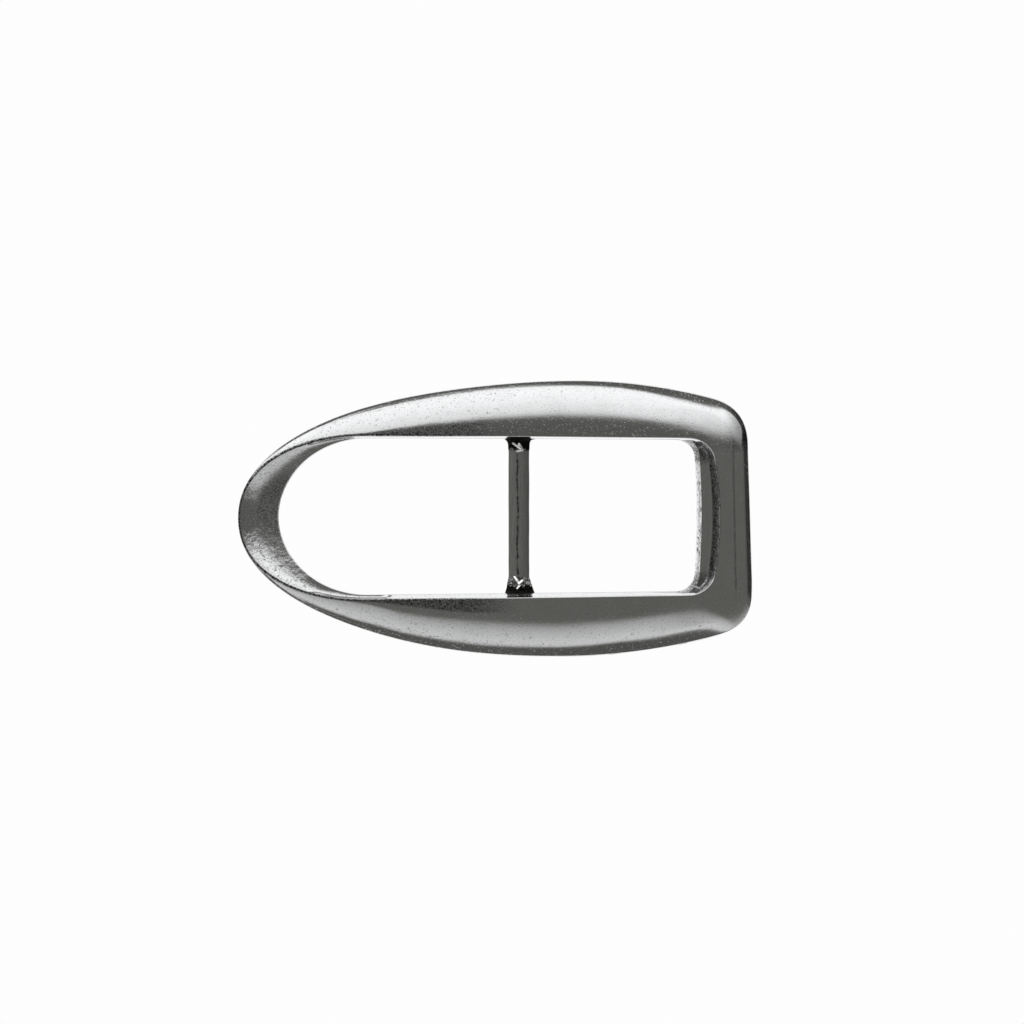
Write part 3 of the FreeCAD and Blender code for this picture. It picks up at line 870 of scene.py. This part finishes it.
class Nodes:
    """A material's node tree, with short calls for the nodes used here."""

    def __init__(self, name):
        self.material = bpy.data.materials.new(name)
        self.material.use_nodes = True
        self.tree = self.material.node_tree
        self.tree.nodes.clear()
        self.output = self.tree.nodes.new("ShaderNodeOutputMaterial")
        self.place = self.tree.nodes.new("ShaderNodeTexCoord").outputs["Object"]

    def add(self, kind, inputs=None, **settings):
        node = self.tree.nodes.new(kind)
        for key, value in settings.items():
            setattr(node, key, value)
        for key, value in (inputs or {}).items():
            self.set(node.inputs[key], value)
        return node

    def set(self, socket, value):
        if isinstance(value, bpy.types.NodeSocket):
            self.tree.links.new(value, socket)
        else:
            socket.default_value = value

    def math(self, operation, a, b=0.0, c=0.0, clamp=False):
        node = self.add("ShaderNodeMath", {0: a, 1: b, 2: c}, operation=operation, use_clamp=clamp)
        return node.outputs[0]

    def times(self, a, b, clamp=False):
        return self.math("MULTIPLY", a, b, clamp=clamp)

    def most(self, a, b, clamp=False):
        return self.math("MAXIMUM", a, b, clamp=clamp)

    def line(self, a, factor, plus):
        return self.math("MULTIPLY_ADD", a, factor, plus)

    def ramp(self, value, low, high, out_low=0.0, out_high=1.0):
        node = self.add("ShaderNodeMapRange", {
            "Value": value, "From Min": low, "From Max": high, "To Min": out_low, "To Max": out_high},
            interpolation_type="SMOOTHSTEP")
        return node.outputs["Result"]

    def noise(self, size_mm, detail=3.0, roughness=0.5, stretch=(1, 1, 1)):
        mapping = self.add("ShaderNodeMapping", {
            "Vector": self.place, "Scale": [1 / (size_mm * MM * s) for s in stretch]})
        node = self.add("ShaderNodeTexNoise", {
            "Vector": mapping.outputs[0], "Scale": 1.0, "Detail": detail, "Roughness": roughness})
        return node.outputs["Fac"]

    def mix(self, factor, a, b):
        node = self.add("ShaderNodeMix", {"Factor": factor, 6: a, 7: b}, data_type="RGBA")
        return node.outputs[2]

    def attribute(self, name):
        return self.add("ShaderNodeAttribute", attribute_name=name).outputs["Fac"]

    def finish(self, color, roughness, height, bump_mm):
        bump = self.add("ShaderNodeBump", {
            "Height": height, "Strength": 1.0, "Distance": bump_mm * MM})
        shader = self.add("ShaderNodeBsdfPrincipled", {
            "Base Color": color, "Metallic": 1.0, "Roughness": roughness,
            "Normal": bump.outputs[0]})
        self.tree.links.new(shader.outputs[0], self.output.inputs[0])
        return self.material


def silver_marks(n, rough, skin, satin_and_shade):
    """How black each spot is, from antique black and painted shade in the recesses, in the cast skin and in
    fine flecks; and the pits.
    """
    few = n.line(satin_and_shade, -0.75, 1.0)
    pits = n.ramp(n.noise(0.30, 2.0, 0.5), 0.63, 0.72)
    pits = n.times(pits, n.line(rough, 0.6, 0.4))
    dents = n.ramp(n.noise(0.7, 3.0, 0.6), 0.68, 0.74)
    pits = n.times(n.most(pits, dents), few)
    speck = n.ramp(n.noise(0.36, 4.0, 0.7), 0.40, 0.62)
    speck = n.line(speck, 0.65, 0.55)
    residue_and_shade = n.times(n.attribute("black_and_painted_shade"), speck, clamp=True)
    grain = n.times(skin, n.ramp(n.noise(0.55, 4.0, 0.65), 0.53, 0.66, 0.0, 0.75))
    residue_and_shade = n.most(n.most(residue_and_shade, grain), n.times(pits, 0.6))
    flecks = n.ramp(n.noise(0.24, 3.0, 0.7), 0.52, 0.70, 0.0, 0.22)
    return n.most(residue_and_shade, n.times(flecks, few)), pits


def silver_color(n, residue_and_shade, satin_and_shade):
    silver = n.mix(n.noise(2.6, 3.0, 0.55), *SILVER)
    # Painted shade: the square end's upper corner is darkened
    silver = n.mix(n.times(n.attribute("painted_corner_shade"), 0.8), silver, CORNER_SHADE)
    # Painted shade: faces that turn away from the top take a darker brushed grey
    silver = n.mix(satin_and_shade, silver, n.mix(n.noise(0.9, 4.0, 0.6, stretch=(3, 3, 1)), *BRUSHED_SHADE))
    return n.mix(residue_and_shade, silver, SILVER_BLACK)


def silver_material():
    """Tumbled white-metal plating with blackened recesses and painted shade, fine pits, and satin sides and
    back painted darker as shade.
    """
    n = Nodes("antique_silver")
    rough = n.attribute("tumbled")
    skin = n.attribute("cast_skin")
    satin_and_shade = n.attribute("satin_and_shade")
    residue_and_shade, pits = silver_marks(n, rough, skin, satin_and_shade)
    roughness = n.line(n.noise(0.6, 4.0, 0.6), 0.10, 0.055)
    for mask, more in ((satin_and_shade, 0.2), (rough, 0.035), (residue_and_shade, 0.25), (skin, 0.08)):
        roughness = n.math("ADD", roughness, n.times(mask, more), clamp=True)
    fine = n.times(n.noise(0.45, 3.0, 0.55), n.line(rough, 0.8, 0.2))
    coarse = n.times(n.noise(0.85, 4.0, 0.6), n.times(skin, 9.0))
    height = n.line(pits, -1.0, n.math("ADD", fine, coarse))
    return n.finish(silver_color(n, residue_and_shade, satin_and_shade), roughness, height, 0.012)


def bar_material():
    """Drawn steel bar with painted shade in its groove, along its right edge and on its back, fine streaks
    along it and black flux at its ends.
    """
    n = Nodes("bar_steel")
    groove_shade = n.attribute("groove_shade")
    stain = n.attribute("stain")
    streak = n.noise(0.25, 3.0, 0.6, stretch=(1, 16, 1))
    cloud = n.noise(1.1, 3.0, 0.6, stretch=(1, 4, 1))
    steel = n.mix(n.ramp(streak, 0.35, 0.65), *STEEL)
    steel = n.mix(cloud, steel, CLOUDED_STEEL)
    speck = n.ramp(n.noise(0.3, 3.0, 0.6), 0.64, 0.74)
    # Painted shade in the groove, and dark specks
    stain_and_shade = n.most(groove_shade, n.times(speck, 0.3), clamp=True)
    stain_and_shade = n.most(stain_and_shade, n.times(stain, n.ramp(streak, 0.75, 0.6)), clamp=True)
    # Painted shade along the right edge, on the back and in a gradient to the right
    stain_and_shade = n.most(stain_and_shade, n.times(n.attribute("bar_painted_shade"), 0.7))
    color = n.mix(stain_and_shade, steel, STEEL_BLACK)
    roughness = n.line(streak, 0.12, 0.10)
    return n.finish(color, roughness, streak, 0.009)


def solder_material():
    """Solder: streaked grey metal under a black flux skin, with painted highlights on the bare metal where
    the skin flaked off.
    """
    n = Nodes("solder")
    highlight = n.attribute("bare")
    skin = n.attribute("flux_skin")
    speck = n.noise(0.22, 4.0, 0.6)
    streak = n.noise(0.16, 3.0, 0.6, stretch=(1, 7, 1))
    highlight = n.ramp(n.line(speck, 0.35, highlight), 0.55, 0.75)
    ragged = n.line(streak, 0.9, n.line(skin, 1.1, -0.5))
    skin = n.ramp(ragged, 0.42, 0.58)
    color = n.mix(skin, n.mix(n.ramp(streak, 0.44, 0.66), *SOLDER), FLUX_BLACK)
    # Painted highlight: the bare flakes are painted bright
    color = n.mix(highlight, color, BARE_HIGHLIGHT)
    roughness = n.line(skin, 0.16, 0.14)
    return n.finish(color, roughness, n.line(highlight, 2.0, speck), 0.02)


def paint(obj, name, values):
    """Stores one value per vertex for the material to read."""
    attribute = obj.data.attributes.new(name, "FLOAT", "POINT")
    attribute.data.foreach_set("value", np.asarray(values, np.float32))


def vertices_mm(obj):
    co = np.empty(len(obj.data.vertices) * 3)
    obj.data.vertices.foreach_get("co", co)
    return co.reshape(-1, 3) / MM


def facing_up(obj):
    """The upward part of each vertex's normal."""
    normals = np.empty(len(obj.data.vertices) * 3)
    obj.data.vertices.foreach_get("normal", normals)
    return normals.reshape(-1, 3)[:, 2]


def riser_mask(x, y, z, depth):
    """The riser of the square end, just inside the ridge."""
    across = falls(depth, 0.02, 0.08) * rises(depth, -1.45, 0.3) * rises(z, END_LEDGE_Z + 0.05, 0.2)
    return across * rises(x, 34.0, 1.0) * rises(-np.abs(y), -10.5, 2.5)


def ridge_mask(x, z, depth):
    """A thin line of painted shadow along the ridge at the left, and a band of antique black outside the
    ridge that fades out at the bar.
    """
    left = falls(x, -12.0, 16.0)
    line = rises(depth, -0.16, 0.1) * falls(depth, 0.24, 0.2) * (z > 3.0) * (0.05 + 0.95 * left)
    band_width = RIDGE_DARK * rises(x, -27.0, 27.0)
    band = rises(depth, 0.0, 0.1) * falls(depth - band_width, -0.1, 0.3)
    return np.maximum(line, band * falls(x, -5.0, 11.0) * 0.8)


def dish_shade_mask(x, y, z, depth):
    """Painted shade on the lower part of the dish at the rounded end, towards the opening."""
    below = rises(-depth, 1.2, 2.5) * (z < 4.4) * rises(x, -43.0, 4.0)
    return 0.65 * rises(-x, 28.0, 4.0) * below * rises(-np.abs(y - 2.0), -8.0, 4.5)


def skin_mask(x, y, depth):
    """The dish's rough cast skin, thinner towards +Y and worn bare in its middle."""
    in_dish = rises(-x, 27.0, 5.0) * rises(-depth, 0.1, 0.4) * (1 - 0.6 * rises(y, 2.0, 4.0))
    bare = falls(-depth, 2.0, 1.5) * falls(np.abs(y - 0.5), 2.0, 2.0)
    return in_dish * (1 - 0.85 * bare)


def paint_casting(casting):
    """Blackening lies in the recesses: antique black beside the ridge and on the square end's riser, darker
    inner corners, and painted shade in a thin line along the ridge, in the lower dish and in the crease.
    """
    p = vertices_mm(casting)
    x, y, z = p.T
    depth = past_ridge(x, y)
    facing = facing_up(casting)
    on_top = smooth(facing / 0.2)
    riser = riser_mask(x, y, z, depth)
    corner = 0.75 * rises(x, 30.0, 1.5) * rises(np.abs(y), 8.5, 1.5) * (depth < -0.3) * (z < 4.0)
    # Painted shade: the thin line along the ridge, the lower dish and the crease are darkened as shade; the
    # riser and the band beside the ridge hold antique black
    marks = np.maximum.reduce([
        ridge_mask(x, z, depth) * on_top, 1.35 * riser, dish_shade_mask(x, y, z, depth), corner, 0.65 * crease(p)])
    paint(casting, "black_and_painted_shade", np.clip(marks * (facing > -0.3), 0, 1))
    # Painted shade on the top of the square end's upper corner
    paint(casting, "painted_corner_shade", rises(x, 37.8, 3.4) * rises(y, 10.5, 2.5) * falls(y, 19.0, 2.0) * on_top)
    paint(casting, "tumbled", 1 - 0.7 * rises(x, -6.0, 16.0))
    lip = rises(x, 31.0, 2.0) * falls(z, 1.6, 0.1) * (z > 0.1) * (depth < 0)
    skin = np.maximum.reduce([skin_mask(x, y, depth) * on_top, lip, 0.8 * riser])
    paint(casting, "cast_skin", np.clip(skin, 0, 1))
    # Painted shade: faces turned away from the top are painted a darker satin grey, except the strip below
    # the ridge and the square end's lip; they are also rougher
    on_lip = (x > 31.0) & (depth < 0) & (facing > -0.3)
    on_strip = rises(z, 3.1, 0.2) * (depth < 0.08)
    paint(casting, "satin_and_shade", falls(facing, 0.2, 0.25) * (1 - on_strip) * (1 - on_lip))


def paint_bar(bar):
    """Painted shade in the groove, the stained ends, and painted shade in a dark line along the right edge
    that a gradient leads up to, and on the back.
    """
    p = vertices_mm(bar)
    across = p[:, 0] - BAR_X
    # Painted shade: the groove is darkened
    paint(bar, "groove_shade", np.clip(groove_depth(p) / GROOVE_DEPTH, 0, 1) * (p[:, 2] > 1.8))
    ragged = 0.25 * field_noise(p * np.array([1.0, 0.3, 1.0]), 0.5, 14) - 0.12 * across ** 2
    upper = rises(p[:, 1] + ragged, STAIN_UPPER, 0.15)
    lower = rises(ragged - p[:, 1], -STAIN_LOWER, 0.15)
    paint(bar, "stain", np.maximum(upper, lower))
    broken = np.clip(0.7 + 0.8 * field_noise(p * ONLY_Y, 1.3, 15), 0, 1)
    # Painted shade: a dark line by the right edge, a darker back and a gradient darker to the right
    edge = np.exp(-((across - BAR_WIDTH / 2 + 0.22) / 0.08) ** 2) * broken
    back = 0.6 * falls(p[:, 2], BAR_LOW_Z, 0.3)
    paint(bar, "bar_painted_shade", np.maximum.reduce([edge, back, 0.35 * rises(across, -0.1, 1.6)]))


def paint_solder(obj, sign, shape):
    """The painted highlights on the bare flakes, and how far the black flux skin reaches from the wall."""
    p = vertices_mm(obj)
    # Painted highlight on the bare flakes
    paint(obj, "bare", strokes_at(p, sign, shape["flake_highlights"])[0] * (p[:, 2] > FLAKES_ABOVE_Z))
    ragged = wall_reach(sign) - sign * p[:, 1] + 0.5 * field_noise(p * np.array([1.0, 0.4, 1.0]), 0.45, 14)
    paint(obj, "flux_skin", falls(ragged, shape["black_to"], 0.9) * rises(p[:, 2], 0.6, 0.8))


# ------------ floor, light and camera

def glow_material(name, strength=None):
    """An even glow, or where no strength is given the tent's own: cool diffusers and warm dark cards."""
    n = Nodes(name)
    color = (1, 1, 1, 1)
    if strength is None:
        strength = n.attribute("light")
        color = n.mix(n.ramp(strength, 0.10, 0.5), (1.0, 0.994, 0.935, 1), (0.995, 1.0, 1.008, 1))
    emission = n.add("ShaderNodeEmission", {"Color": color, "Strength": strength})
    n.tree.links.new(emission.outputs[0], n.output.inputs[0])
    n.material.cycles.emission_sampling = "NONE"
    return n.material


# Brightness of the light tent by angle from straight up, in degrees
FAR_SIDE = [
    (0, 0.120), (7, 0.100), (17.5, 0.103), (20, 0.15), (22, 0.26), (24.5, 0.48), (27.5, 0.68), (31, 0.80),
    (36, 0.95), (42, 1.0), (50, 1.12), (65, 1.2), (75.5, 1.2), (78.5, 0.8), (81.5, 0.20), (85, 0.10),
    (93, 0.09)]
NEAR_SIDE = [
    (0, 0.125), (20, 0.122), (25, 0.13), (28, 0.18), (31, 0.27), (35, 0.37), (40, 0.46), (50, 0.57),
    (60, 0.66), (71, 0.70), (74, 0.42), (77, 0.14), (84, 0.09), (93, 0.085)]
LEFT_CARDS = [(0, 0.125), (30, 0.130), (60, 0.120), (93, 0.10)]
RIGHT_CARDS = [(0, 0.128), (25, 0.122), (40, 0.115), (50, 0.11), (60, 0.08), (76, 0.04), (93, 0.03)]
# The bright table's glow, from this angle down
FLOOR_GLOW = 1.10
FLOOR_FROM = 98.0
FLOOR_SOFT = 7.0
# The plain floor and the world behind the object
BACKDROP = 0.985
# How far round each light reaches from its middle, in degrees, left and right, and how softly
FAR_SPREAD = {"left": 66.0, "right": 58.0, "soft": 14.0}
NEAR_SPREAD = {"left": 66.0, "right": 61.0, "soft": 16.0}


def tent_light(direction):
    """The tent's brightness: diffusers on the long sides, black cards above the camera and at both ends,
    and the bright table below."""
    up = np.degrees(np.arccos(np.clip(direction[:, 2], -1, 1)))
    side = np.degrees(np.arctan2(np.abs(direction[:, 0]), np.abs(direction[:, 1])))
    far = direction[:, 1] > 0
    right = direction[:, 0] > 0
    light = np.where(far, lookup(up, FAR_SIDE), lookup(up, NEAR_SIDE))
    windows = []
    for spread in (FAR_SPREAD, NEAR_SPREAD):
        reach_deg = np.where(right, spread["right"], spread["left"])
        windows.append(1 - smooth((side - reach_deg) / spread["soft"] + 0.5))
    window = np.where(far, windows[0], windows[1])
    cards = np.where(right, lookup(up, RIGHT_CARDS), lookup(up, LEFT_CARDS))
    above = blend(cards, light, window)
    return blend(above, FLOOR_GLOW, rises(up, FLOOR_FROM, FLOOR_SOFT))


def make_dome():
    columns, rows, radius = 180, 120, 2000.0
    a = np.linspace(0, 2 * math.pi, columns, endpoint=False)
    up = np.linspace(0, math.pi, rows + 2)[1:-1]
    grid = np.stack([
        np.outer(np.sin(up), np.cos(a)), np.outer(np.sin(up), np.sin(a)),
        np.outer(np.cos(up), np.ones(columns))], axis=-1).reshape(-1, 3)
    dome = mesh_object("light_tent", grid * radius, prism_faces(rows, columns))
    paint(dome, "light", tent_light(grid))
    coat(dome, glow_material("tent_glow"))
    dome.visible_camera = False


def make_floor():
    half, drop = 6000.0, -600.0
    corners = [(-half, -half, drop), (half, -half, drop), (half, half, drop), (-half, half, drop)]
    floor = mesh_object("floor", corners, [(0, 1, 2, 3)])
    coat(floor, glow_material("floor_white", strength=BACKDROP))
    floor.visible_glossy = False
    world = bpy.data.worlds.new("studio")
    world.use_nodes = True
    background = world.node_tree.nodes["Background"].inputs
    background["Color"].default_value = (1, 1, 1, 1)
    background["Strength"].default_value = BACKDROP
    bpy.context.scene.world = world


def make_camera():
    data = bpy.data.cameras.new("camera")
    data.lens = LENS
    data.sensor_width = SENSOR
    camera = bpy.data.objects.new("camera", data)
    bpy.context.scene.collection.objects.link(camera)
    distance = VIEW_WIDTH * LENS / SENSOR
    camera.location = Vector((VIEW_X + SHIFT_X, VIEW_Y + SHIFT_Y, VIEW_Z + distance)) * MM
    data.clip_start, data.clip_end = 0.01, 20
    bpy.context.scene.camera = camera


# ------------ the scene

def main():
    casting = make_casting()
    cut_slots(casting)
    shade(casting)
    paint_casting(casting)
    coat(casting, silver_material())

    bar = make_bar()
    paint_bar(bar)
    onto_middle(bar)
    coat(bar, bar_material())

    solder = solder_material()
    pieces = [(casting, "frame_casting", "antique_silver"), (bar, "centre_bar", "bar_steel")]
    for name, node, sign, shape in (
            ("solder_top", "solder_upper", 1, UPPER_FLARE),
            ("solder_bottom", "solder_lower", -1, LOWER_FLARE)):
        obj = make_solder(name, sign, shape)
        paint_solder(obj, sign, shape)
        onto_middle(obj)
        coat(obj, solder)
        pieces.append((obj, node, "solder"))

    for obj, node, slot in pieces:
        obj.data.transform(Matrix.Translation((SHIFT_X * MM, SHIFT_Y * MM, 0)))
        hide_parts(node)
        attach(obj, "root")

    make_dome()
    make_floor()
    make_camera()
    bpy.context.scene.view_settings.view_transform = "Standard"


main()
